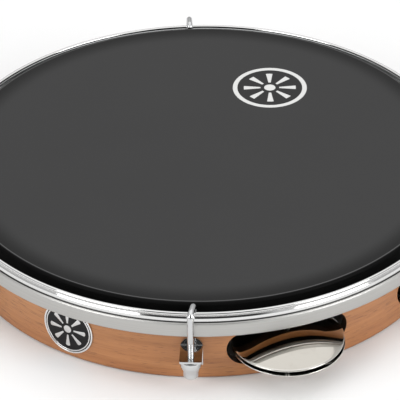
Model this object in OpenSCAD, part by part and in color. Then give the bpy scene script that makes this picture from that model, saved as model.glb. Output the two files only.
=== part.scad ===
/* [Shell] */
// Outer radius of the wooden shell
shell_r = 127; // [126.5:0.1:127.2]
// Thickness of the shell wall
shell_t = 5.5; // [5:0.1:6]
// Height of the shell from its bottom edge to the bearing edge
shell_h = 45.2; // [45:0.05:45.3]

/* [Windows] */
// Length of a jingle window from end to end
window_l = 62.7; // [61.5:0.1:63.5]
// Height of a jingle window
window_h = 19.2; // [19:0.1:19.4]
// Height of the middle of a window above the bottom edge
window_z = 16.7; // [16.6:0.05:16.8]

/* [Jingles] */
// Radius of a jingle disc
jingle_r = 27.9; // [26:0.1:28.2]
// Depth of a jingle disc, sheet included
jingle_h = 7.6; // [7:0.1:7.6]
// Thickness of the jingle sheet
jingle_t = 0.7; // [0.5:0.05:0.8]
// Radius of the hole in a jingle
jingle_bore_r = 2.0; // [2:0.05:2.2]
// Gap between the facing rims of a pair
rim_gap = 1.4; // [1.2:0.1:1.4]
// Radius of the jingle pin
pin_r = 1.1; // [0.9:0.05:1.1]

/* [Head] */
// Thickness of the drumhead film
film_t = 0.4; // [0.3:0.05:0.4]
// Radius of the crease at the edge of the playing surface
crease_r = 126.2; // [126:0.1:126.3]

/* [Counterhoop] */
// Radius of the centre of the rolled lip
lip_r = 132.7; // [132.6:0.05:132.8]
// Height of the centre of the rolled lip
lip_z = 42.95; // [42.8:0.05:43]
// Outer radius of the hoop's band
band_r = 136; // [135.9:0.05:136]
// Height of the bottom of the band
band_z = 31.35; // [31.2:0.05:31.6]

/* [Tuning hardware] */
// Radius of the tuning hook rod
hook_r = 1.6; // [1.5:0.05:1.6]
// Distance of the hook rod from the shell's axis
hook_at = 137.9; // [137.9:0.05:138.2]
// Thread pitch of the hook
pitch = 0.7; // [0.6:0.05:0.8]
// Width of a hook bracket
bracket_w = 10.9; // [10:0.1:11.5]
// Radius of the nut's flange
flange_r = 5.2; // [4.8:0.1:5.4]

/* [Badge] */
// Radius of the round badge
badge_r = 14; // [13:0.1:14]
// Angle of the badge round the shell, from the front towards the right
badge_a = -31.6; // [-33:0.1:-30]

/* [Hidden] */
$fn = 96;
hook_a = [-2.7, 90, 182.7, 270];
hook_turn = [-8, 0, 0, 0];             // the front hook stands slightly turned on its rod
window_a = [19.2, 63.6, 117.3, 161.2, 204.2, 247, 292.5];
pin_at = shell_r - shell_t / 2;
win_r = window_h / 2;
win_bottom = window_z - win_r;
win_top = window_z + win_r;
lower_z = win_bottom + 0.3;          // underside of the lower disc
lower_rim = lower_z + jingle_h;      // top face of the lower rim
upper_rim = lower_rim + rim_gap;     // bottom face of the upper rim
upper_in = 0.5;                      // the upper disc hangs this much inwards on its pin
lower_out = 0.4;                     // the lower disc hangs this much outwards
shelf_top = 21;
shelf_t = 1.3;
nut_top = shelf_top - shelf_t - 0.3;
nut_bottom = 9.1;
collar_z = 16.2;                     // foot of the nut's collar
cone_z = 12.6;                       // foot of the cone below the collar
hook_top = 45.8;                     // centreline of the hook where it crosses the lip
hook_end = 12;
thread_top = 29.6;
screw_z = 13.4;
badge_z = 16.9;

// Puts its children at angle a round the shell; their -Y points outwards
module around(a) { rotate([0, 0, a]) children(); }

// Outline of a jingle window, cut along the radius
module window_cut(a) {
  around(a) translate([0, -shell_r + shell_t / 2, window_z]) {
    cube([window_l - 2 * win_r, 16, window_h], center = true);
    for (s = [-1, 1]) translate([s * (window_l / 2 - win_r), 0, 0])
      rotate([90, 0, 0]) cylinder(r = win_r, h = 16, center = true);
  }
}

// Bent wooden shell with a bearing edge, jingle windows and drilled holes
module shell() {
  ri = shell_r - shell_t;
  color([0.69, 0.48, 0.34]) difference() {
    rotate_extrude() polygon([
      [ri + 0.5, 0], [shell_r - 0.6, 0], [shell_r, 0.6],
      [shell_r, shell_h - 1], [shell_r - 1, shell_h],
      [shell_r - 2.4, shell_h], [ri, shell_h - 3], [ri, 0.5]]);
    for (a = window_a) {
      window_cut(a);
      around(a) translate([0, -pin_at, -1]) cylinder(r = pin_r + 0.05, h = 33.4);
    }
    for (a = hook_a) around(a) translate([0, -ri + 4, screw_z])
      rotate([90, 0, 0]) cylinder(r = 1.6, h = 20);
  }
}

// Drumhead film: flat playing surface, crease, and collar down to the flesh hoop
module head_film() {
  x0 = shell_r + 0.05;
  x1 = x0 + film_t;
  color([0.07, 0.07, 0.075]) rotate_extrude() polygon([
    [0, shell_h + 0.02], [shell_r - 0.97, shell_h + 0.02], [x0, shell_h - 1], [x0, 33.2], [x0 + 3.4, 33.2],
    [x0 + 3.4, 33.2 + film_t], [x1, 33.2 + film_t], [x1, shell_h - 1.0],
    [x1 - 0.15, shell_h - 0.55], [x1 - 0.5, shell_h - 0.05],
    [crease_r, shell_h + film_t - 0.05], [crease_r - 0.6, shell_h + film_t], [0, shell_h + film_t]]);
}

// Channel that grips the film's edge
module flesh_hoop() {
  a = shell_r + 0.5;
  b = 131.6;
  color([0.75, 0.76, 0.77]) rotate_extrude() polygon([
    [a, 33.7], [a + 0.9, 33.7], [a + 0.9, 37.2], [b - 0.9, 37.2], [b - 0.9, 33.7],
    [b, 33.7], [b, 37.7], [b - 0.6, 38.3], [a + 0.4, 38.3], [a, 37.9]]);
}

// Points of an arc, from angle a0 to angle a1 in n steps
function arc(x, y, r, a0, a1, n) = [for (i = [0 : n]) let (a = a0 + (a1 - a0) * i / n) [x + r * cos(a), y + r * sin(a)]];

// Pressed steel counterhoop: rolled lip, sloping wall, web over the flesh hoop, outer band
module counterhoop() {
  color([0.8, 0.8, 0.8]) rotate_extrude() polygon(concat(
    arc(lip_r, lip_z, 0.95, -40, 215, 17),
    [[lip_r - 0.7, 42.2], [lip_r - 0.7, 38.3], [band_r - 1.2, 38.3], [band_r - 1.2, band_z + 1]],
    arc(band_r - 0.7, band_z + 0.7, 0.7, 180, 360, 10),
    // outer shoulder, groove, upper wall and the slope up to the lip
    [[band_r, 37.8], [band_r - 0.2, 38.7], [band_r - 0.8, 39.3], [lip_r + 1.9, 38.95],
     [lip_r + 1.65, 39.6], [lip_r + 1.27, 40.97], [lip_r + 0.65, 41.75]]));
}

// A disc of radius r bent to the shell, from radius r0 to r1
module bent_disc(r, r0, r1) {
  intersection() {
    difference() { cylinder(r = r1, h = 60); translate([0, 0, -1]) cylinder(r = r0, h = 62); }
    around(badge_a) translate([0, -shell_r + 8, badge_z]) rotate([90, 0, 0]) cylinder(r = r, h = 20);
  }
}

// Round badge: a plate with two raised rings, bent to the shell
module badge_plate() {
  color([0.82, 0.82, 0.82]) difference() {
    bent_disc(badge_r, shell_r + 0.02, shell_r + 0.9);
    difference() { bent_disc(badge_r - 0.9, shell_r + 0.6, shell_r + 2); bent_disc(badge_r - 1.35, shell_r, shell_r + 3); }
    bent_disc(badge_r - 2, shell_r + 0.5, shell_r + 2);
  }
}

// Dark inlay of the badge with a plain raised ring and dot
module badge_inlay() {
  color([0.06, 0.06, 0.06]) union() {
    bent_disc(badge_r - 2.02, shell_r + 0.5, shell_r + 0.7);
    difference() { bent_disc(8.2, shell_r + 0.5, shell_r + 0.8); bent_disc(6.9, shell_r, shell_r + 3); }
    bent_disc(2.6, shell_r + 0.5, shell_r + 0.8);
  }
}

// Upright pins, one through the middle of each window
module jingle_pins() {
  color([0.7, 0.7, 0.7]) for (a = window_a)
    around(a) translate([0, -pin_at, 0.8]) cylinder(r = pin_r, h = 31.2);
}

// Height of a disc's sheet above its rim at radius r: one smooth dome
function dish(r) = (jingle_h - jingle_t) * (1 - pow(r / jingle_r, 2));

// One jingle disc, dome up, with the bottom of its rim at z = 0
module disc() {
  n = 22;
  rs = [for (i = [0 : n]) jingle_bore_r + (jingle_r - jingle_bore_r) * i / n];
  rotate_extrude() polygon(concat(
    [for (r = rs) [r, dish(r)]],
    [for (i = [n : -1 : 0]) [rs[i], dish(rs[i]) + jingle_t]]));
}
module lower_jingle(k) {
  color([0.78, 0.76, 0.72]) around(window_a[k]) translate([0, -pin_at - lower_out, lower_rim]) mirror([0, 0, 1]) disc();
}
module upper_jingle(k) {
  color([0.78, 0.76, 0.72]) around(window_a[k]) translate([0, -pin_at + upper_in, upper_rim]) disc();
}

// Tuning hook: threaded rod that bends over the hoop's lip
module hook(k) {
  bend = 2.6;
  tip = 1.7;
  tip_at = 129.5;
  color([0.85, 0.85, 0.86]) around(hook_a[k]) translate([0, -hook_at, 0]) rotate([0, 0, hook_turn[k]]) translate([0, hook_at, 0]) union() {
    translate([0, -hook_at, thread_top]) cylinder(r = hook_r, h = hook_top - bend - thread_top);
    // threaded length, as a row of ridges
    translate([0, -hook_at, 0]) rotate_extrude() polygon(concat(
      [[0, hook_end], [hook_r - 0.4, hook_end]],
      [for (z = [hook_end + 0.3 : pitch : thread_top - pitch]) each
        [[hook_r - 0.32, z], [hook_r - 0.05, z + pitch / 2]]],
      [[hook_r - 0.32, thread_top], [0, thread_top]]));
    translate([0, -hook_at + bend, hook_top - bend]) rotate([0, 0, -90]) rotate([90, 0, 0])
      rotate_extrude(angle = 90) translate([bend, 0]) circle(r = hook_r);
    translate([0, -hook_at + bend, hook_top]) rotate([-90, 0, 0])
      cylinder(r = hook_r, h = hook_at - bend - tip_at - tip);
    translate([0, -tip_at - tip, hook_top - tip]) rotate([0, 0, -90]) rotate([90, 0, 0])
      rotate([0, 0, 90]) rotate_extrude(angle = 90) translate([tip, 0]) circle(r = hook_r);
    translate([0, -tip_at, 43]) cylinder(r = hook_r, h = hook_top - tip - 43);
    translate([0, -tip_at, 43]) sphere(r = hook_r);
  }
}

// Closed nut: collar, cone, and a barrel with six narrow flats and a nearly flat end
module tuning_nut(k) {
  barrel = 3.7;
  color([0.8, 0.81, 0.82]) around(hook_a[k]) translate([0, -hook_at, 0]) difference() {
    union() {
      rotate_extrude() polygon([
        [0, cone_z], [barrel, cone_z], [flange_r - 0.15, collar_z], [flange_r, collar_z + 0.3],
        [flange_r, nut_top - 0.25], [flange_r - 0.25, nut_top], [0, nut_top]]);
      intersection() {
        translate([0, 0, nut_bottom]) cylinder(r = 4.12, h = cone_z + 0.1 - nut_bottom, $fn = 6);
        rotate_extrude() polygon([
          [0, nut_bottom], [2.6, nut_bottom + 0.1], [3.35, nut_bottom + 0.45],
          [barrel, nut_bottom + 1.1], [barrel, cone_z + 0.1], [0, cone_z + 0.1]]);
      }
    }
    translate([0, 0, 11.1]) cylinder(r = hook_r + 0.03, h = 20);
  }
}

// Hook bracket: arch-topped plate on the shell with a drilled shelf
module bracket(k) {
  r0 = shell_r + 0.05;
  arch = bracket_w / 2;
  color([0.8, 0.8, 0.81]) around(hook_a[k]) difference() {
    union() {
      translate([0, -r0, 0]) rotate([90, 0, 0]) linear_extrude(1.2) {
        translate([-arch, 9]) square([bracket_w, 25.5 - arch - 9]);
        translate([0, 25.5 - arch]) circle(r = arch);
      }
      translate([0, 0, shelf_top - shelf_t]) linear_extrude(shelf_t) difference() {
        union() {
          translate([-arch, -141.2]) square([bracket_w, 141.2 - r0 - 0.6]);
          translate([-arch + 1, -142.2]) square([bracket_w - 2, 3]);
          for (s = [-1, 1]) translate([s * (arch - 1), -141.2]) circle(r = 1);
        }
      }
      // bead where the shelf leaves the plate
      translate([-arch, -r0 - 1.2, shelf_top]) rotate([0, 90, 0]) cylinder(r = 0.5, h = bracket_w);
    }
    translate([0, -hook_at, 10]) cylinder(r = hook_r + 0.3, h = 20);
    translate([0, -r0 + 2, screw_z]) rotate([90, 0, 0]) cylinder(r = 1.6, h = 10);
  }
}

// Pan-head screws that hold the brackets
module bracket_screws() {
  color([0.75, 0.75, 0.76]) for (a = hook_a) around(a) translate([0, 0, screw_z]) rotate([90, 0, 0]) difference() {
    union() {
      translate([0, 0, 117.6]) cylinder(r = 1.5, h = 128.27 - 117.6);
      translate([0, 0, 128.27]) cylinder(r1 = 2.9, r2 = 2.3, h = 1.6);
    }
    for (t = [0, 90]) rotate([0, 0, t]) translate([-1.5, -0.3, 129.2]) cube([3, 0.6, 2]);
  }
}
module bracket_washers() {
  color([0.7, 0.7, 0.71]) for (a = hook_a) around(a) translate([0, 0, screw_z]) rotate([90, 0, 0])
    translate([0, 0, 120.6]) difference() { cylinder(r = 3.6, h = 0.8); translate([0, 0, -1]) cylinder(r = 1.6, h = 3); }
}
module bracket_nuts() {
  color([0.7, 0.7, 0.71]) for (a = hook_a) around(a) translate([0, 0, screw_z]) rotate([90, 0, 0])
    translate([0, 0, 118.2]) difference() { cylinder(r = 3.1, h = 2.38, $fn = 6); translate([0, 0, -1]) cylinder(r = 1.53, h = 5); }
}

shell();
head_film();
flesh_hoop();
counterhoop();
badge_plate();
badge_inlay();
jingle_pins();
lower_jingle(0);  // jingle_1_lower
upper_jingle(0);  // jingle_1_upper
lower_jingle(1);  // jingle_2_lower
upper_jingle(1);  // jingle_2_upper
lower_jingle(2);  // jingle_3_lower
upper_jingle(2);  // jingle_3_upper
lower_jingle(3);  // jingle_4_lower
upper_jingle(3);  // jingle_4_upper
lower_jingle(4);  // jingle_5_lower
upper_jingle(4);  // jingle_5_upper
lower_jingle(5);  // jingle_6_lower
upper_jingle(5);  // jingle_6_upper
lower_jingle(6);  // jingle_7_lower
upper_jingle(6);  // jingle_7_upper
hook(0);  // hook_1
hook(1);  // hook_2
hook(2);  // hook_3
hook(3);  // hook_4
tuning_nut(0);  // tuning_nut_1
tuning_nut(1);  // tuning_nut_2
tuning_nut(2);  // tuning_nut_3
tuning_nut(3);  // tuning_nut_4
bracket(0);  // bracket_1
bracket(1);  // bracket_2
bracket(2);  // bracket_3
bracket(3);  // bracket_4
bracket_screws();
bracket_washers();
bracket_nuts();
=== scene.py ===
import bpy, bmesh, math
from math import sin, cos, pi, radians
from mathutils import Matrix, Vector


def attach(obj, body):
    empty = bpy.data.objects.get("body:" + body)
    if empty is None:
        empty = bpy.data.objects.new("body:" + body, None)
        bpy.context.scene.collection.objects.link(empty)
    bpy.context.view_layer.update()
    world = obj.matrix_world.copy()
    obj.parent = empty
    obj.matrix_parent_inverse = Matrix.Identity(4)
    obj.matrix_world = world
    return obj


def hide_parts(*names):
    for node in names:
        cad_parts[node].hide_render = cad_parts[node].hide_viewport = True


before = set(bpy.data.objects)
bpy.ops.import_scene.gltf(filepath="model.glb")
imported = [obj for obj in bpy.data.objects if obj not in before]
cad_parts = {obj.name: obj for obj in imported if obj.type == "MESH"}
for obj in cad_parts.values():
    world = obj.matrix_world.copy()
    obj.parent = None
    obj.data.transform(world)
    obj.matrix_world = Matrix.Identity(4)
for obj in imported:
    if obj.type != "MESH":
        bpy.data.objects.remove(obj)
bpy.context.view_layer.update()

MM = 0.001
HOOKS = [-2.7, 90.0, 182.7, 270.0]
TURN = [-8.0, 0.0, 0.0, 0.0]
WINDOWS = [19.2, 63.6, 117.3, 161.2, 204.2, 247.0, 292.5]
SHELL_R, PIN_AT = 127.0, 124.25
JR, JT, BORE = 27.9, 0.7, 2.0
LOWER_RIM, UPPER_RIM = 15.0, 16.4
HOOK_AT = 137.9


# ---------------------------------------------------------------- mesh helpers
def new_obj(name, verts, faces, sharp=32.0, loc=None):
    me = bpy.data.meshes.new(name)
    me.from_pydata(verts, [], faces)
    bm = bmesh.new(); bm.from_mesh(me)
    bmesh.ops.remove_doubles(bm, verts=bm.verts, dist=1e-7)
    bmesh.ops.recalc_face_normals(bm, faces=bm.faces)
    bm.to_mesh(me); bm.free()
    for p in me.polygons:
        p.use_smooth = True
    me.set_sharp_from_angle(angle=radians(sharp))
    ob = bpy.data.objects.new(name, me)
    bpy.context.scene.collection.objects.link(ob)
    if loc:
        ob.location = loc
    return ob


def fillet(pts, n=5):
    """Closed outline of (r, z, corner radius) with its corners rounded."""
    out = []
    m = len(pts)
    for i in range(m):
        x, y, rad = pts[i]
        p = Vector((x, y)); a = Vector(pts[i - 1][:2]); b = Vector(pts[(i + 1) % m][:2])
        if rad <= 0:
            out.append((x, y)); continue
        da, db = (a - p), (b - p)
        la, lb = da.length, db.length
        da.normalize(); db.normalize()
        ang = da.angle(db)
        if ang > 3.1:
            out.append((x, y)); continue
        d = min(rad / math.tan(ang / 2), la * 0.48, lb * 0.48)
        p0, p1 = p + da * d, p + db * d
        for k in range(n + 1):
            t = k / n
            q = p0 * (1 - t) ** 2 + p * (2 * t * (1 - t)) + p1 * t ** 2
            out.append((q.x, q.y))
    return out


def revolve(name, outline, segs=240, sharp=32.0, loc=None, fn=None):
    """Ring swept from a closed outline of (r, z) in mm. Points at r = 0 become one vertex."""
    verts, faces, idx = [], [], []
    for r, z in outline:
        if r < 1e-6:
            idx.append([len(verts)] * segs); verts.append((0, 0, z * MM))
        else:
            row = []
            for s in range(segs):
                a = 2 * pi * s / segs
                row.append(len(verts)); verts.append((r * cos(a) * MM, r * sin(a) * MM, z * MM))
            idx.append(row)
    m = len(outline)
    for i in range(m):
        p, q = idx[i], idx[(i + 1) % m]
        for s in range(segs):
            t = (s + 1) % segs
            f = []
            for v in (p[s], p[t], q[t], q[s]):
                if v not in f:
                    f.append(v)
            if len(f) > 2:
                faces.append(f)
    return new_obj(name, verts, faces, sharp, loc)


def around(a):
    return Matrix.Rotation(radians(a), 4, "Z")


# ---------------------------------------------------------------- node helpers
def mat(name):
    m = bpy.data.materials.new(name)
    m.use_nodes = True
    nt = m.node_tree
    b = nt.nodes["Principled BSDF"]
    return m, nt, b


def N(nt, kind, **kw):
    n = nt.nodes.new(kind)
    for k, v in kw.items():
        if k in ("operation", "data_type", "blend_type", "noise_dimensions", "wave_type", "bands_direction", "feature", "mode", "interpolation_type", "clamp"):
            setattr(n, k, v)
        else:
            n.inputs[k].default_value = v
    return n


def L(nt, a, b):
    nt.links.new(a, b)


def ramp(nt, fac, stops):
    r = nt.nodes.new("ShaderNodeValToRGB")
    e = r.color_ramp.elements
    while len(e) < len(stops):
        e.new(0.5)
    for i, (p, c) in enumerate(stops):
        e[i].position = p
        e[i].color = (*c, 1) if len(c) == 3 else c
    L(nt, fac, r.inputs[0])
    return r.outputs[0]


def math_(nt, op, a, b=None):
    n = nt.nodes.new("ShaderNodeMath"); n.operation = op
    for i, v in enumerate((a, b)):
        if v is None:
            continue
        if isinstance(v, (int, float)):
            n.inputs[i].default_value = v
        else:
            L(nt, v, n.inputs[i])
    return n.outputs[0]


def maprange(nt, v, a, b, c=0.0, d=1.0, smooth=False):
    n = nt.nodes.new("ShaderNodeMapRange")
    if smooth:
        n.interpolation_type = "SMOOTHSTEP"
    L(nt, v, n.inputs[0])
    for i, x in enumerate((a, b, c, d)):
        n.inputs[i + 1].default_value = x
    return n.outputs[0]


def coords(nt, scale=(1, 1, 1)):
    tc = nt.nodes.new("ShaderNodeTexCoord")
    mp = nt.nodes.new("ShaderNodeMapping")
    mp.inputs["Scale"].default_value = scale
    L(nt, tc.outputs["Object"], mp.inputs["Vector"])
    return mp.outputs[0]


def noise(nt, vec, scale=1.0, detail=3.0, rough=0.5, dist=0.0):
    n = nt.nodes.new("ShaderNodeTexNoise")
    n.inputs["Scale"].default_value = scale
    n.inputs["Detail"].default_value = detail
    n.inputs["Roughness"].default_value = rough
    n.inputs["Distortion"].default_value = dist
    L(nt, vec, n.inputs["Vector"])
    return n.outputs["Fac"]


def mix(nt, fac, a, b, blend="MIX"):
    n = nt.nodes.new("ShaderNodeMix"); n.data_type = "RGBA"; n.blend_type = blend
    if isinstance(fac, (int, float)):
        n.inputs[0].default_value = fac
    else:
        L(nt, fac, n.inputs[0])
    for sock, v in ((n.inputs[6], a), (n.inputs[7], b)):
        if isinstance(v, tuple):
            sock.default_value = (*v, 1)
        else:
            L(nt, v, sock)
    return n.outputs[2]


def bump(nt, b, h, strength, dist):
    n = nt.nodes.new("ShaderNodeBump")
    n.inputs["Strength"].default_value = strength
    n.inputs["Distance"].default_value = dist
    L(nt, h, n.inputs["Height"])
    L(nt, n.outputs[0], b.inputs["Normal"])


# ---------------------------------------------------------------- materials
def wood_material():
    m, nt, b = mat("wood_shell")
    # slow along the bend, fast across it, so the grain runs round the hoop
    long_ = noise(nt, coords(nt, (9, 9, 260)), 1.0, 6, 0.62, 0.4)
    wide = noise(nt, coords(nt, (5, 5, 55)), 1.0, 3, 0.5, 0.6)
    fine = noise(nt, coords(nt, (55, 55, 1500)), 1.0, 4, 0.65)
    pores = noise(nt, coords(nt, (120, 120, 2600)), 1.0, 2, 0.5)
    col = ramp(nt, long_, [(0.25, (0.275, 0.100, 0.030)), (0.45, (0.415, 0.170, 0.056)), (0.6, (0.468, 0.202, 0.070)), (0.8, (0.535, 0.250, 0.094))])
    col = mix(nt, maprange(nt, wide, 0.35, 0.7, 0.0, 0.55), col, (0.350, 0.122, 0.042))
    col = mix(nt, maprange(nt, fine, 0.50, 0.78, 0.0, 0.55, True), col, (0.26, 0.095, 0.038))
    col = mix(nt, maprange(nt, pores, 0.60, 0.70, 0.0, 0.75, True), col, (0.13, 0.045, 0.02))
    # plies show on the cut edges at the top and the bottom
    tc = nt.nodes.new("ShaderNodeTexCoord")
    geo = nt.nodes.new("ShaderNodeNewGeometry")
    sx = nt.nodes.new("ShaderNodeSeparateXYZ"); L(nt, tc.outputs["Object"], sx.inputs[0])
    sn = nt.nodes.new("ShaderNodeSeparateXYZ"); L(nt, tc.outputs["Normal"], sn.inputs[0])
    r = math_(nt, "SQRT", math_(nt, "ADD", math_(nt, "MULTIPLY", sx.outputs[0], sx.outputs[0]), math_(nt, "MULTIPLY", sx.outputs[1], sx.outputs[1])))
    ply = math_(nt, "SINE", math_(nt, "MULTIPLY", r, 2 * pi / 0.0022))
    edge = maprange(nt, math_(nt, "ABSOLUTE", sn.outputs[2]), 0.6, 0.9, 0.0, 1.0)
    col = mix(nt, math_(nt, "MULTIPLY", edge, maprange(nt, ply, 0.1, 0.9, 0.0, 0.55, True)), col, (0.22, 0.085, 0.036))
    # the colour darkens a little towards the bottom edge
    low = maprange(nt, sx.outputs[2], 0.0, 0.0016, 0.55, 0.0, True)
    col = mix(nt, low, col, (0.12, 0.045, 0.02))
    # painted shade: the windows' cut walls are painted near black, as the shade inside the windows
    sr = math_(nt, "ABSOLUTE", math_(nt, "DIVIDE", math_(nt, "ADD", math_(nt, "MULTIPLY", sx.outputs[0], sn.outputs[0]), math_(nt, "MULTIPLY", sx.outputs[1], sn.outputs[1])), r))
    inband = math_(nt, "MULTIPLY", maprange(nt, sx.outputs[2], 0.0062, 0.0068, 0, 1), maprange(nt, sx.outputs[2], 0.0264, 0.0270, 1, 0))
    window_wall_shade = math_(nt, "MULTIPLY", maprange(nt, sr, 0.35, 0.65, 1.0, 0.0, True), inband)
    col = mix(nt, math_(nt, "MULTIPLY", window_wall_shade, 0.93), col, (0.012, 0.008, 0.005))
    L(nt, col, b.inputs["Base Color"])
    L(nt, maprange(nt, long_, 0.3, 0.8, 0.34, 0.48), b.inputs["Roughness"])
    b.inputs["Coat Weight"].default_value = 0.25
    b.inputs["Coat Roughness"].default_value = 0.22
    h = math_(nt, "ADD", math_(nt, "MULTIPLY", fine, 0.5), math_(nt, "MULTIPLY", pores, 0.5))
    bump(nt, b, h, 0.22, 0.0003)
    return m


def head_material():
    m, nt, b = mat("head_film")
    tc = nt.nodes.new("ShaderNodeTexCoord")
    sx = nt.nodes.new("ShaderNodeSeparateXYZ"); L(nt, tc.outputs["Object"], sx.inputs[0])
    x = math_(nt, "SUBTRACT", sx.outputs[0], HX)
    y = math_(nt, "SUBTRACT", sx.outputs[1], HY)
    rho = math_(nt, "SQRT", math_(nt, "ADD", math_(nt, "MULTIPLY", x, x), math_(nt, "MULTIPLY", y, y)))
    E = 0.00018

    def band(v, lo, hi):
        return math_(nt, "MULTIPLY", maprange(nt, v, lo - E, lo + E, 0, 1, True), maprange(nt, v, hi - E, hi + E, 1, 0, True))
    ring = band(rho, 0.01725, 0.01965)
    dot = maprange(nt, rho, 0.0030 - E, 0.0030 + E, 1, 0, True)
    ang = math_(nt, "ARCTAN2", y, x)
    a8 = math_(nt, "PINGPONG", ang, pi / 8)
    across = math_(nt, "MULTIPLY", rho, math_(nt, "SINE", a8))
    half = maprange(nt, rho, 0.0050, 0.0150, 0.0006, 0.0019)
    ray = math_(nt, "MULTIPLY", band(rho, 0.0050, 0.0138), maprange(nt, math_(nt, "SUBTRACT", across, half), -E, E, 1, 0, True))
    inside = maprange(nt, rho, 0.01725 - E, 0.01725 + E, 1, 0, True)
    top = maprange(nt, sx.outputs[2], 0.04535, 0.04545, 0, 1)  # the upper face only
    ink = math_(nt, "MULTIPLY", math_(nt, "MINIMUM", math_(nt, "ADD", math_(nt, "ADD", ring, dot), ray), 1.0), top)
    big = noise(nt, coords(nt, (14, 14, 14)), 1.0, 4, 0.55, 0.3)
    grit = noise(nt, coords(nt, (1500, 1500, 1500)), 1.0, 2, 0.5)
    col = ramp(nt, big, [(0.3, (0.0190, 0.0190, 0.0194)), (0.7, (0.0232, 0.0232, 0.0234))])
    col = mix(nt, maprange(nt, grit, 0.55, 0.75, 0.0, 0.2), col, (0.040, 0.040, 0.040))
    col = mix(nt, math_(nt, "MULTIPLY", math_(nt, "MULTIPLY", inside, top), 0.85), col, (0.008, 0.008, 0.008))
    col = mix(nt, math_(nt, "MULTIPLY", ink, 0.97), col, (0.72, 0.72, 0.71))
    # painted shade darkens the film where it curves down before the crease, a painted highlight lights the crease, and
    # a painted dark reflection darkens its collar
    rf = math_(nt, "SQRT", math_(nt, "ADD", math_(nt, "MULTIPLY", sx.outputs[0], sx.outputs[0]), math_(nt, "MULTIPLY", sx.outputs[1], sx.outputs[1])))
    edge = maprange(nt, rf, 0.1130, 0.1248, 0.0, 0.62, True)
    col = mix(nt, edge, col, (0.006, 0.006, 0.006))
    # painted highlight: a thin lighter ring along the crease
    crease_highlight = math_(nt, "MULTIPLY", maprange(nt, rf, 0.12550, 0.12575, 0, 1, True), maprange(nt, rf, 0.12600, 0.12625, 1, 0, True))
    col = mix(nt, math_(nt, "MULTIPLY", crease_highlight, 0.65), col, (0.12, 0.12, 0.12))
    # painted dark reflection: the collar below the crease is painted near black
    collar = maprange(nt, rf, 0.12620, 0.12665, 0.0, 1.0, True)
    col = mix(nt, collar, col, (0.004, 0.004, 0.004))
    L(nt, col, b.inputs["Base Color"])
    rg = maprange(nt, big, 0.3, 0.7, 0.40, 0.47)
    L(nt, rg, b.inputs["Roughness"])
    lvl = math_(nt, "SUBTRACT", math_(nt, "SUBTRACT", 0.34, math_(nt, "MULTIPLY", edge, 0.30)), math_(nt, "MULTIPLY", collar, 0.12))
    L(nt, math_(nt, "MAXIMUM", lvl, 0.03), b.inputs["Specular IOR Level"])
    bump(nt, b, grit, 0.05, 0.0001)
    return m


def chrome_material(name, base, rough, scratch=0.03, scale=(300, 300, 300), spread=0.05):
    m, nt, b = mat(name)
    b.inputs["Metallic"].default_value = 1.0
    sm = noise(nt, coords(nt, (38, 38, 38)), 1.0, 4, 0.55, 0.4)
    sc = noise(nt, coords(nt, scale), 1.0, 3, 0.6)
    dark = tuple(c * 0.90 for c in base)
    L(nt, mix(nt, maprange(nt, sm, 0.4, 0.75, 0, 1, True), base, dark), b.inputs["Base Color"])
    L(nt, math_(nt, "ADD", maprange(nt, sm, 0.35, 0.7, rough, rough + spread), maprange(nt, sc, 0.6, 0.8, 0, spread)), b.inputs["Roughness"])
    bump(nt, b, sc, scratch, 0.00005)
    return m


def hoop_material():
    """Bright rolled lip and wall over a softer, brushed band."""
    m, nt, b = mat("hoop_chrome")
    b.inputs["Metallic"].default_value = 1.0
    tc = nt.nodes.new("ShaderNodeTexCoord")
    sx = nt.nodes.new("ShaderNodeSeparateXYZ"); L(nt, tc.outputs["Object"], sx.inputs[0])
    band = maprange(nt, sx.outputs[2], 0.0392, 0.0399, 1.0, 0.0, True)
    brush = noise(nt, coords(nt, (14, 14, 2600)), 1.0, 3, 0.6)
    cloud = noise(nt, coords(nt, (26, 26, 60)), 1.0, 3, 0.5)
    rr = math_(nt, "SQRT", math_(nt, "ADD", math_(nt, "MULTIPLY", sx.outputs[0], sx.outputs[0]), math_(nt, "MULTIPLY", sx.outputs[1], sx.outputs[1])))
    # painted shade: the groove between the wall and the band is painted near black
    groove_shade = math_(nt, "MULTIPLY", math_(nt, "MULTIPLY", maprange(nt, rr, 0.13430, 0.13442, 0, 1), maprange(nt, rr, 0.13505, 0.13520, 1, 0)), maprange(nt, sx.outputs[2], 0.0386, 0.0388, 0, 1))
    skin = mix(nt, band, mix(nt, cloud, (0.72, 0.72, 0.715), (0.63, 0.63, 0.625)), mix(nt, brush, (0.42, 0.415, 0.40), (0.52, 0.515, 0.50)))
    L(nt, mix(nt, math_(nt, "MULTIPLY", groove_shade, 0.92), skin, (0.03, 0.03, 0.03)), b.inputs["Base Color"])
    r = math_(nt, "ADD", math_(nt, "MULTIPLY", band, 0.24), maprange(nt, cloud, 0.3, 0.8, 0.045, 0.10))
    L(nt, math_(nt, "ADD", r, math_(nt, "MULTIPLY", math_(nt, "MULTIPLY", band, brush), 0.10)), b.inputs["Roughness"])
    bump(nt, b, math_(nt, "MULTIPLY", brush, band), 0.06, 0.00004)
    return m


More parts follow.
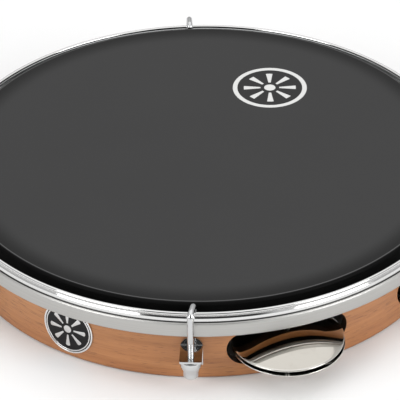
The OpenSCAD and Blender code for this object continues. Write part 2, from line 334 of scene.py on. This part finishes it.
def jingle_material():
    """Polished nickel with faint turned lines and finger haze."""
    m, nt, b = mat("jingle_nickel")
    b.inputs["Metallic"].default_value = 1.0
    tc = nt.nodes.new("ShaderNodeTexCoord")
    sx = nt.nodes.new("ShaderNodeSeparateXYZ"); L(nt, tc.outputs["Object"], sx.inputs[0])
    rho = math_(nt, "SQRT", math_(nt, "ADD", math_(nt, "MULTIPLY", sx.outputs[0], sx.outputs[0]), math_(nt, "MULTIPLY", sx.outputs[1], sx.outputs[1])))
    n1 = nt.nodes.new("ShaderNodeTexNoise"); n1.noise_dimensions = "1D"
    n1.inputs["Scale"].default_value = 2600; n1.inputs["Detail"].default_value = 3
    L(nt, rho, n1.inputs["W"])
    lines = n1.outputs["Fac"]
    haze = noise(nt, coords(nt, (70, 70, 70)), 1.0, 4, 0.55, 0.8)
    col = mix(nt, maprange(nt, haze, 0.45, 0.8, 0, 0.6, True), (0.52, 0.495, 0.45), (0.45, 0.42, 0.375))
    edge = maprange(nt, rho, 0.0268, 0.0277, 0, 0.5, True)
    col = mix(nt, edge, col, (0.80, 0.79, 0.76))
    L(nt, col, b.inputs["Base Color"])
    L(nt, math_(nt, "ADD", maprange(nt, haze, 0.4, 0.8, 0.035, 0.10), maprange(nt, lines, 0.4, 0.8, 0.0, 0.03)), b.inputs["Roughness"])
    bump(nt, b, lines, 0.035, 0.00004)
    return m


def enamel_material():
    m, nt, b = mat("badge_enamel")
    n = noise(nt, coords(nt, (500, 500, 500)), 1.0, 3, 0.5)
    L(nt, ramp(nt, n, [(0.3, (0.004, 0.004, 0.005)), (0.7, (0.009, 0.009, 0.010))]), b.inputs["Base Color"])
    L(nt, maprange(nt, n, 0.3, 0.7, 0.34, 0.46), b.inputs["Roughness"])
    b.inputs["Specular IOR Level"].default_value = 0.2
    bump(nt, b, n, 0.05, 0.00008)
    return m


HX, HY = 0.03625, 0.0653
WOOD = wood_material()
HEAD = head_material()
HOOP = hoop_material()
NICKEL = jingle_material()
CHROME = chrome_material("hardware_chrome", (0.60, 0.605, 0.61), 0.09, 0.05)
ZINC = chrome_material("zinc_steel", (0.60, 0.60, 0.60), 0.26, 0.10, (900, 900, 900), 0.10)
ALU = chrome_material("flesh_hoop_aluminium", (0.74, 0.75, 0.76), 0.30, 0.10, (20, 20, 1800), 0.10)
BADGE = chrome_material("badge_metal", (0.84, 0.84, 0.84), 0.10, 0.05)
SILVER = chrome_material("badge_motif_metal", (0.70, 0.70, 0.70), 0.28, 0.10, (1200, 1200, 1200), 0.08)
ENAMEL = enamel_material()

CAD_MATS = {"shell": WOOD, "jingle_pins": ZINC, "bracket_screws": CHROME, "bracket_washers": ZINC, "bracket_nuts": ZINC}
for k in range(1, 5):
    CAD_MATS[f"bracket_{k}"] = CHROME


def set_mat(ob, m):
    ob.data.materials.clear()
    ob.data.materials.append(m)


for name, m in CAD_MATS.items():
    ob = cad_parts[name]
    if not ob.material_slots:
        ob.data.materials.append(m)
    for s in ob.material_slots:
        s.material = m
    bev = ob.modifiers.new("edge", "BEVEL")
    bev.width = {"shell": 0.0005}.get(name, 0.00045 if name.startswith("bracket_") and name[-1].isdigit() else 0.00022)
    bev.segments = 3 if name == "shell" else 2
    bev.limit_method = "ANGLE"
    bev.angle_limit = radians(40)
    bev.use_clamp_overlap = True
    bev.harden_normals = True


def piece(ob, material, body, slot, *nodes):
    set_mat(ob, material)
    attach(ob, body)
    if nodes:
        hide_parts(*nodes)
    return ob


# ---------------------------------------------------------------- head, hoops
film = fillet([
    (60, 45.2, 0), (126.0, 45.2, 0.2), (127.05, 44.15, 0.3), (127.05, 33.2, 0), (130.45, 33.2, 0.1), (130.45, 33.6, 0.1),
    (127.45, 33.6, 0.2), (127.45, 44.2, 0.5), (127.05, 45.1, 0.6), (126.2, 45.55, 0.5), (125.5, 45.6, 0.4), (60, 45.6, 0)], 4)
film = [(0, 45.2)] + film + [(0, 45.6)]
piece(revolve("drumhead", film, 320, 50), HEAD, "frame", "head", "head_film")

a, b_ = 127.5, 131.6
flesh = fillet([(a, 33.7, 0.1), (a + 0.9, 33.7, 0.1), (a + 0.9, 37.2, 0.3), (b_ - 0.9, 37.2, 0.3), (b_ - 0.9, 33.7, 0.1),
                (b_, 33.7, 0.2), (b_, 38.3, 0.7), (a, 38.3, 0.5)], 3)
piece(revolve("flesh_hoop_channel", flesh, 240, 50), ALU, "frame", "aluminium", "flesh_hoop")

lip = [(132.7 + 0.95 * cos(t), 42.95 + 0.95 * sin(t)) for t in [radians(-38 + d * 12.6) for d in range(0, 21)]]
hoop = [(x, z, 0) for x, z in lip]
hoop += [(132.0, 42.0, 0.2), (132.0, 38.3, 0.2), (134.8, 38.3, 0.25), (134.8, 32.05, 0)]
hoop += [(135.3 + 0.7 * cos(t), 32.05 + 0.7 * sin(t), 0) for t in [radians(180 + d * 15) for d in range(1, 13)]]
hoop += [(136.0, 37.8, 0.6), (135.8, 38.7, 0.5), (135.2, 39.3, 0.15), (134.6, 38.95, 0.08), (134.35, 39.6, 0.12), (133.97, 40.97, 0.25), (133.35, 41.75, 0.1)]
piece(revolve("counterhoop_ring", fillet(hoop, 5), 720, 50), HOOP, "frame", "hoop_chrome", "counterhoop")


# ---------------------------------------------------------------- jingles
def smooth(t):
    t = min(1.0, max(0.0, t))
    return t * t * (3 - 2 * t)


def dish(r):
    return 6.9 * (1 - (r / JR) ** 2)


def jingle(name, a, lower):
    n = 34
    rs = [BORE + (JR - BORE) * i / n for i in range(n + 1)]
    under = [(r, dish(r)) for r in rs[:-1]]
    over = [(r, dish(r) + JT) for r in rs[:-1]][::-1]
    rim = [(JR - 0.10, 0.02), (JR - 0.02, 0.14), (JR, 0.35), (JR - 0.02, 0.56), (JR - 0.10, 0.70)]
    prof = [(r, min(z, 7.6)) for r, z in under + rim + over]
    if lower:
        prof = [(r, -z) for r, z in prof]
    c = around(a) @ Vector((0, -(PIN_AT + 0.4) * MM if lower else -(PIN_AT - 0.5) * MM, 0))
    return revolve(name, prof, 144, 60, loc=(c.x, c.y, (LOWER_RIM if lower else UPPER_RIM) * MM))


for i, a in enumerate(WINDOWS, 1):
    for which in ("lower", "upper"):
        node = f"jingle_{i}_{which}"
        piece(jingle(f"disc_{i}_{which}", a, which == "lower"), NICKEL, node, "jingle_metal", node)


# ---------------------------------------------------------------- hooks and nuts
def hook(name, a, turn):
    """Rod swept along its centreline, with a real helix on the threaded length."""
    pitch, R = 0.7, 1.6
    path = []  # (y outwards as -y, z, radius function)
    z = 12.0
    rows = []

    def row(p, t, r_of):
        # ring in the plane across t, through p; x stays sideways
        side = Vector((1, 0, 0)); n2 = t.cross(side).normalized()
        rows.append([p + (side * cos(q) + n2 * sin(q)) * r_of(q) for q in [2 * pi * s / 40 for s in range(40)]])
    up = Vector((0, 0, 1))
    top_z = 29.6
    steps = int((top_z - z) / pitch * 9)
    for i in range(steps + 1):
        zz = z + (top_z - z) * i / steps
        fade = smooth((top_z - zz) / 0.8) * smooth((zz - z + 0.15) / 0.5)

        def r_of(q, zz=zz, fade=fade):
            ph = (zz / pitch - q / (2 * pi)) % 1.0
            ridge = 1 - abs(2 * ph - 1)
            return R - 0.05 - 0.30 * (1 - smooth(ridge * 1.15)) * fade - (0.25 * (1 - smooth((zz - z) / 0.35)))
        row(Vector((0, -HOOK_AT, zz)), up, r_of)
    flat = lambda q: R
    bend, tip, tip_at, hz = 2.6, 1.7, 129.5, 45.8
    row(Vector((0, -HOOK_AT, top_z + 0.15)), up, flat)
    for i in range(1, 9):
        row(Vector((0, -HOOK_AT, top_z + (hz - bend - top_z) * i / 8)), up, flat)
    for i in range(1, 13):
        t = (pi / 2) * i / 12
        row(Vector((0, -HOOK_AT + bend - bend * cos(t), hz - bend + bend * sin(t))), Vector((0, sin(t), cos(t))), flat)
    for i in range(1, 4):
        row(Vector((0, -(HOOK_AT - bend) + (HOOK_AT - bend - tip_at - tip) * i / 3, hz)), Vector((0, 1, 0)), flat)
    for i in range(1, 10):
        t = (pi / 2) * i / 9
        row(Vector((0, -(tip_at + tip) + tip * sin(t), hz - tip + tip * cos(t))), Vector((0, cos(t), -sin(t))), flat)
    row(Vector((0, -tip_at, 43.0)), Vector((0, 0, -1)), flat)
    for i in range(1, 8):
        t = (pi / 2) * i / 8
        row(Vector((0, -tip_at, 43.0 - R * sin(t))), Vector((0, 0, -1)), lambda q, t=t: R * cos(t))
    verts, faces = [], []
    stand = Vector((0, -HOOK_AT * MM, 0))
    M = around(a) @ Matrix.Translation(stand) @ around(turn) @ Matrix.Translation(-stand)
    for rw in rows:
        for p in rw:
            q = M @ (p * MM); verts.append((q.x, q.y, q.z))
    S = 40
    for i in range(len(rows) - 1):
        for s in range(S):
            t = (s + 1) % S
            faces.append((i * S + s, i * S + t, (i + 1) * S + t, (i + 1) * S + s))
    for end, p in ((0, Vector((0, -HOOK_AT, 12.0))), (len(rows) - 1, Vector((0, -tip_at, 43.0 - R)))):
        c = len(verts); q = M @ (p * MM); verts.append((q.x, q.y, q.z))
        for s in range(S):
            faces.append((end * S + s, end * S + (s + 1) % S, c))
    return new_obj(name, verts, faces, 75)


def nut(name, a):
    """Collar, cone and a barrel with six narrow flats and a nearly flat end, bored from above."""
    S = 144
    top, cone, end, B = 19.4, 12.6, 9.1, 3.7

    def flats(q, r):
        return min(r, 4.12 * cos(pi / 6) / cos((q % (pi / 3)) - pi / 6))
    prof = [(1.63, 11.1), (1.63, top - 0.25), (1.85, top), (4.95, top), (5.13, top - 0.07), (5.2, top - 0.25),
            (5.2, 17.6), (5.2, 16.6), (5.17, 16.38), (5.05, 16.2)]
    rows = [[(r, z)] * S for r, z in prof]
    for i in range(1, 9):
        t = i / 8
        z = 16.2 + (cone - 16.2) * t
        rows.append([((5.05 * (1 - t) + flats(2 * pi * s / S, B) * t), z) for s in range(S)])
    for r, z in [(B, cone - 0.12), (B, 12.0), (B, 11.2), (B, 10.5), (3.68, 10.15), (3.58, 9.85), (3.35, 9.57), (3.0, 9.36), (2.6, 9.21), (1.8, 9.14), (0.9, 9.11)]:
        rows.append([(flats(2 * pi * s / S, r), z) for s in range(S)])
    verts, faces = [], []
    M = around(a) @ Matrix.Translation((0, -HOOK_AT * MM, 0))
    for rw in rows:
        for s, (r, z) in enumerate(rw):
            q = 2 * pi * s / S
            p = M @ Vector((r * cos(q) * MM, r * sin(q) * MM, z * MM)); verts.append((p.x, p.y, p.z))
    for i in range(len(rows) - 1):
        for s in range(S):
            t = (s + 1) % S
            faces.append((i * S + s, i * S + t, (i + 1) * S + t, (i + 1) * S + s))
    for row_, z in ((0, 11.1), (len(rows) - 1, end)):
        c = len(verts); p = M @ Vector((0, 0, z * MM)); verts.append((p.x, p.y, p.z))
        for s in range(S):
            faces.append((row_ * S + s, row_ * S + (s + 1) % S, c))
    return new_obj(name, verts, faces, 32)


for i, a in enumerate(HOOKS, 1):
    piece(hook(f"hook_rod_{i}", a, TURN[i - 1]), CHROME, f"hook_{i}", "hardware_chrome", f"hook_{i}")
    piece(nut(f"nut_{i}", a), CHROME, f"tuning_nut_{i}", "hardware_chrome", f"tuning_nut_{i}")


# ---------------------------------------------------------------- badge
BA, BZ = -31.6, 16.9


def bent(u, v, h):
    """Point on the shell's face: u mm round it and v mm up from the badge's centre, h mm out."""
    r = SHELL_R + h
    t = math.asin(max(-1, min(1, u / SHELL_R))) + radians(BA)
    return (r * sin(t) * MM, -r * cos(t) * MM, (BZ + v) * MM)


def bent_revolve(name, prof, S=144, sharp=50):
    """Closed outline of (radius, height) swept round the badge's centre and bent to the shell."""
    verts, faces = [], []
    for r, h in prof:
        for s in range(S):
            q = 2 * pi * s / S
            verts.append(bent(r * cos(q), r * sin(q), h))
    m = len(prof)
    for i in range(m):
        j = (i + 1) % m
        for s in range(S):
            t = (s + 1) % S
            faces.append((i * S + s, i * S + t, j * S + t, j * S + s))
    return new_obj(name, verts, faces, sharp)


plate = fillet([(11.3, 0.02, 0), (13.98, 0.02, 0.1), (13.98, 0.9, 0.25), (13.15, 0.9, 0.2), (13.05, 0.5, 0.08), (12.65, 0.5, 0.08),
                (12.6, 0.9, 0.2), (12.0, 0.9, 0.2), (11.97, 0.3, 0.05), (11.3, 0.3, 0)], 3)
piece(bent_revolve("badge_rim", plate), BADGE, "frame", "badge_metal", "badge_plate")
piece(bent_revolve("badge_groove_paint", [(12.66, 0.52), (13.04, 0.52), (13.07, 0.62), (12.64, 0.62)]), ENAMEL, "frame", "badge_enamel")
S = 96
disc = []
verts, faces = [], []
radii = [11.95 * k / 14 for k in range(1, 15)]
for h in (0.62, 0.3):
    base = len(verts)
    verts.append(bent(0, 0, h))
    for r in radii:
        for s in range(S):
            q = 2 * pi * s / S
            verts.append(bent(r * cos(q), r * sin(q), h))
    for s in range(S):
        t = (s + 1) % S
        faces.append((base, base + 1 + s, base + 1 + t))
        for k in range(len(radii) - 1):
            o = base + 1 + k * S
            faces.append((o + s, o + S + s, o + S + t, o + t))
    disc.append(base + 1 + (len(radii) - 1) * S)
for s in range(S):
    t = (s + 1) % S
    faces.append((disc[0] + s, disc[1] + s, disc[1] + t, disc[0] + t))
piece(new_obj("badge_enamel_disc", verts, faces, 40), ENAMEL, "frame", "badge_enamel", "badge_inlay")

# raised motif: eight tapering rays round a dot, all plain
verts, faces = [], []


def slab(outline, h0, h1):
    n = len(outline); o = len(verts)
    cx = sum(p[0] for p in outline) / n; cy = sum(p[1] for p in outline) / n
    for f, h in ((1.0, h0), (1.0, h1 - 0.06), (0.90, h1)):
        for x, y in outline:
            verts.append(bent(cx + (x - cx) * f, cy + (y - cy) * f, h))
    for lvl in range(2):
        for i in range(n):
            j = (i + 1) % n
            faces.append((o + lvl * n + i, o + lvl * n + j, o + (lvl + 1) * n + j, o + (lvl + 1) * n + i))
    for base, h in ((o, h0), (o + 2 * n, h1)):
        c = len(verts); verts.append(bent(cx, cy, h))
        for i in range(n):
            faces.append((base + i, base + (i + 1) % n, c))


for k in range(8):
    t = k * pi / 4
    pts = []
    for u, w in ((3.5, 0.42), (5.5, 0.62), (7.5, 0.92), (9.3, 1.22)):
        pts.append((u, -w))
    for q in range(1, 8):
        an = -pi / 2 + pi * q / 8
        pts.append((9.3 + 0.75 * cos(an), 1.25 * sin(an)))
    for u, w in ((9.3, 1.22), (7.5, 0.92), (5.5, 0.62), (3.5, 0.42)):
        pts.append((u, w))
    slab([(x * cos(t) - y * sin(t), x * sin(t) + y * cos(t)) for x, y in pts], 0.55, 0.82)
slab([(2.1 * cos(2 * pi * q / 36), 2.1 * sin(2 * pi * q / 36)) for q in range(36)], 0.55, 0.84)
piece(new_obj("badge_motif", verts, faces, 40), SILVER, "frame", "badge_metal")


# ---------------------------------------------------------------- stage, light, camera
def stage_plane():
    me = bpy.data.meshes.new("floor")
    s = 12.0
    me.from_pydata([(-s, -s, -0.0003), (s, -s, -0.0003), (s, s, -0.0003), (-s, s, -0.0003)], [], [(0, 1, 2, 3)])
    ob = bpy.data.objects.new("floor", me)
    bpy.context.scene.collection.objects.link(ob)
    m, nt, b = mat("floor_paper")
    b.inputs["Base Color"].default_value = (0.90, 0.90, 0.90, 1)
    b.inputs["Roughness"].default_value = 0.9
    b.inputs["Specular IOR Level"].default_value = 0.1
    set_mat(ob, m)


stage_plane()


def area(name, loc, target, size, power, size_y=None):
    li = bpy.data.lights.new(name, "AREA")
    li.energy = power
    li.size = size
    if size_y:
        li.shape = "RECTANGLE"; li.size_y = size_y
    ob = bpy.data.objects.new(name, li)
    ob.location = loc
    ob.rotation_euler = (Vector(target) - Vector(loc)).to_track_quat("-Z", "Y").to_euler()
    bpy.context.scene.collection.objects.link(ob)
    return ob


area("top_softbox", (0.0, 0.25, 1.6), (0, 0, 0), 2.5, 9)
area("front_left", (-1.3, -1.3, 1.0), (0, 0, 0.02), 1.1, 15)
area("front_right", (1.4, -1.0, 0.8), (0, 0, 0.02), 0.9, 14)

w = bpy.data.worlds.new("studio")
bpy.context.scene.world = w
w.use_nodes = True
nt = w.node_tree
bg = nt.nodes["Background"]
tc = nt.nodes.new("ShaderNodeTexCoord")
sp = nt.nodes.new("ShaderNodeSeparateXYZ")
L(nt, tc.outputs["Generated"], sp.inputs[0])
sky = ramp(nt, sp.outputs[2], [(0.0, (0.80, 0.80, 0.80)), (0.16, (0.62, 0.62, 0.62)), (0.42, (0.70, 0.70, 0.70)), (0.75, (1.0, 1.0, 1.0))])
# a soft-edged dark card where the photographer stands
dirs = nt.nodes.new("ShaderNodeSeparateXYZ"); L(nt, tc.outputs["Generated"], dirs.inputs[0])
side = math_(nt, "ARCTAN2", dirs.outputs[0], math_(nt, "MULTIPLY", dirs.outputs[1], -1.0))
wide = maprange(nt, math_(nt, "ABSOLUTE", side), radians(22), radians(34), 1.0, 0.0, True)
tall = math_(nt, "MULTIPLY", maprange(nt, dirs.outputs[2], 0.20, 0.32, 0, 1, True), maprange(nt, dirs.outputs[2], 0.72, 0.84, 1, 0, True))
sky = mix(nt, math_(nt, "MULTIPLY", math_(nt, "MULTIPLY", wide, tall), 0.95), sky, (0.02, 0.02, 0.02))
L(nt, sky, bg.inputs["Color"])
bg.inputs["Strength"].default_value = 0.85

sc = bpy.context.scene
sc.view_settings.view_transform = "Standard"
sc.view_settings.look = "None"

R = 0.1327
f, dist, e, roll = 3094.3, 12.0, radians(33.67), radians(-0.56)
cx, cy = 202.30, 160.46
right, up, fwd = Vector((1, 0, 0)), Vector((0, sin(e), cos(e))), Vector((0, cos(e), -sin(e)))
du, dv = 200 - cx, 200 - cy
u = cos(roll) * du + sin(roll) * dv
v = -sin(roll) * du + cos(roll) * dv
F = (fwd + right * (u / f) - up * (v / f)).normalized()
Xc = cos(roll) * right + sin(roll) * up
X = (Xc - F * Xc.dot(F)).normalized()
Y = (-F).cross(X)
cam = bpy.data.cameras.new("camera")
cam.sensor_width = 36
cam.lens = f * 36 / 400
cam.clip_start = 0.05
cam.clip_end = 60
co = bpy.data.objects.new("camera", cam)
loc = Vector((0, -dist * cos(e) * R, dist * sin(e) * R + 0.04295))
co.matrix_world = Matrix(((X.x, Y.x, -F.x, loc.x), (X.y, Y.y, -F.y, loc.y), (X.z, Y.z, -F.z, loc.z), (0, 0, 0, 1)))
sc.collection.objects.link(co)
sc.camera = co
